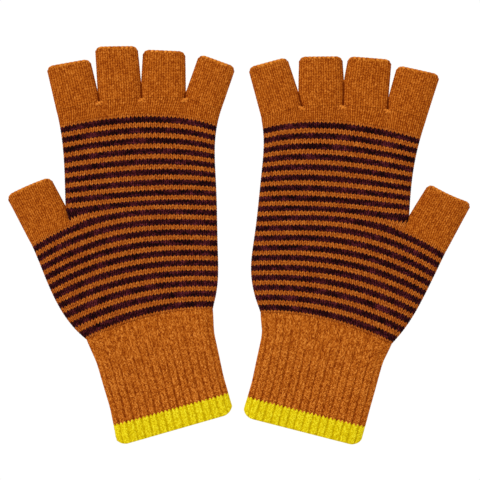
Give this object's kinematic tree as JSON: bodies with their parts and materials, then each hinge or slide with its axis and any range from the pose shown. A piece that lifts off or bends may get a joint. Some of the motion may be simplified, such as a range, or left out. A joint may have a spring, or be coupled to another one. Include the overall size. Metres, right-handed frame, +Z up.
{
  "type": "fingerless gloves",
  "caption": "Pair of fingerless knitted gloves lying flat: striped hands, plain open fingers, ribbed cuffs and a contrast welt.",
  "frame": {"origin": "middle of the pair's box, on the surface that the gloves lie on", "axes": "+X from the left-hand glove to the right-hand glove, +Y from the cuffs towards the fingers, +Z up, out of the palms"},
  "size_m": [0.267, 0.23, 0.0086],
  "materials": {
    "striped_knit": "plain knit in stripes of burnt orange and near-black maroon wool",
    "plain_knit": "plain knit in heathered burnt orange wool",
    "edge_knit": "rolled bind-off edge in burnt orange wool",
    "rib_knit": "one by one rib in burnt orange wool",
    "welt_knit": "one by one rib in acid yellow wool",
    "stitch_yarn": "sewing stitches of burnt orange yarn"
  },
  "bodies": {
    "left_hand": {"left_hand_stripes": "striped_knit", "left_knuckle_band": "plain_knit", "left_crotch_stitches": "stitch_yarn"},
    "left_cuff": {"left_cuff_rib": "rib_knit", "left_cuff_welt": "welt_knit"},
    "left_thumb": {"left_thumb_tube": "plain_knit", "left_thumb_edge": "edge_knit"},
    "left_index": {"left_index_tube": "plain_knit", "left_index_edge": "edge_knit"},
    "left_middle": {"left_middle_tube": "plain_knit", "left_middle_edge": "edge_knit"},
    "left_ring": {"left_ring_tube": "plain_knit", "left_ring_edge": "edge_knit"},
    "left_little": {"left_little_tube": "plain_knit", "left_little_edge": "edge_knit"},
    "right_hand": {"right_hand_stripes": "striped_knit", "right_knuckle_band": "plain_knit", "right_crotch_stitches": "stitch_yarn"},
    "right_cuff": {"right_cuff_rib": "rib_knit", "right_cuff_welt": "welt_knit"},
    "right_thumb": {"right_thumb_tube": "plain_knit", "right_thumb_edge": "edge_knit"},
    "right_little": {"right_little_tube": "plain_knit", "right_little_edge": "edge_knit"},
    "right_ring": {"right_ring_tube": "plain_knit", "right_ring_edge": "edge_knit"},
    "right_middle": {"right_middle_tube": "plain_knit", "right_middle_edge": "edge_knit"},
    "right_index": {"right_index_tube": "plain_knit", "right_index_edge": "edge_knit"}
  },
  "joints": [
    {"name": "right_glove_lift", "type": "slide", "parent": "left_hand", "child": "right_hand", "axis": [0, 0, 1], "range_m": [0, 0.08]},
    {"name": "left_thumb_bend", "type": "hinge", "parent": "left_hand", "child": "left_thumb", "pos_m": [-0.1104, 0.00985, 0.0086], "axis": [0.8776, 0.4795, 0], "range_deg": [0, 60]},
    {"name": "left_index_bend", "type": "hinge", "parent": "left_hand", "child": "left_index", "pos_m": [-0.0926, 0.0807, 0.0086], "axis": [0.974, 0.2266, 0], "range_deg": [0, 90]},
    {"name": "left_middle_bend", "type": "hinge", "parent": "left_hand", "child": "left_middle", "pos_m": [-0.06815, 0.08445, 0.0086], "axis": [0.9973, 0.0736, 0], "range_deg": [0, 90]},
    {"name": "left_ring_bend", "type": "hinge", "parent": "left_hand", "child": "left_ring", "pos_m": [-0.0435, 0.08535, 0.0086], "axis": [1, 0, 0], "range_deg": [0, 90]},
    {"name": "left_little_bend", "type": "hinge", "parent": "left_hand", "child": "left_little", "pos_m": [-0.02065, 0.0819, 0.0086], "axis": [0.9491, -0.3149, 0], "range_deg": [0, 90]},
    {"name": "left_wrist_bend", "type": "hinge", "parent": "left_hand", "child": "left_cuff", "pos_m": [-0.0513, -0.0447, 0.0086], "axis": [-0.9718, -0.2359, 0], "range_deg": [0, 70]},
    {"name": "right_thumb_bend", "type": "hinge", "parent": "right_hand", "child": "right_thumb", "pos_m": [0.10925, 0.006, 0.0086], "axis": [0.8796, -0.4758, 0], "range_deg": [0, 60]},
    {"name": "right_little_bend", "type": "hinge", "parent": "right_hand", "child": "right_little", "pos_m": [0.0244, 0.07735, 0.0086], "axis": [0.9643, 0.2649, 0], "range_deg": [0, 90]},
    {"name": "right_ring_bend", "type": "hinge", "parent": "right_hand", "child": "right_ring", "pos_m": [0.0479, 0.08085, 0.0086], "axis": [0.9997, 0.0253, 0], "range_deg": [0, 90]},
    {"name": "right_middle_bend", "type": "hinge", "parent": "right_hand", "child": "right_middle", "pos_m": [0.07255, 0.08005, 0.0086], "axis": [0.9963, -0.0856, 0], "range_deg": [0, 90]},
    {"name": "right_index_bend", "type": "hinge", "parent": "right_hand", "child": "right_index", "pos_m": [0.09645, 0.07615, 0.0086], "axis": [0.9696, -0.2446, 0], "range_deg": [0, 90]},
    {"name": "right_wrist_bend", "type": "hinge", "parent": "right_hand", "child": "right_cuff", "pos_m": [0.05, -0.04695, 0.0086], "axis": [-0.9723, 0.2337, 0], "range_deg": [0, 70]}
  ]
}
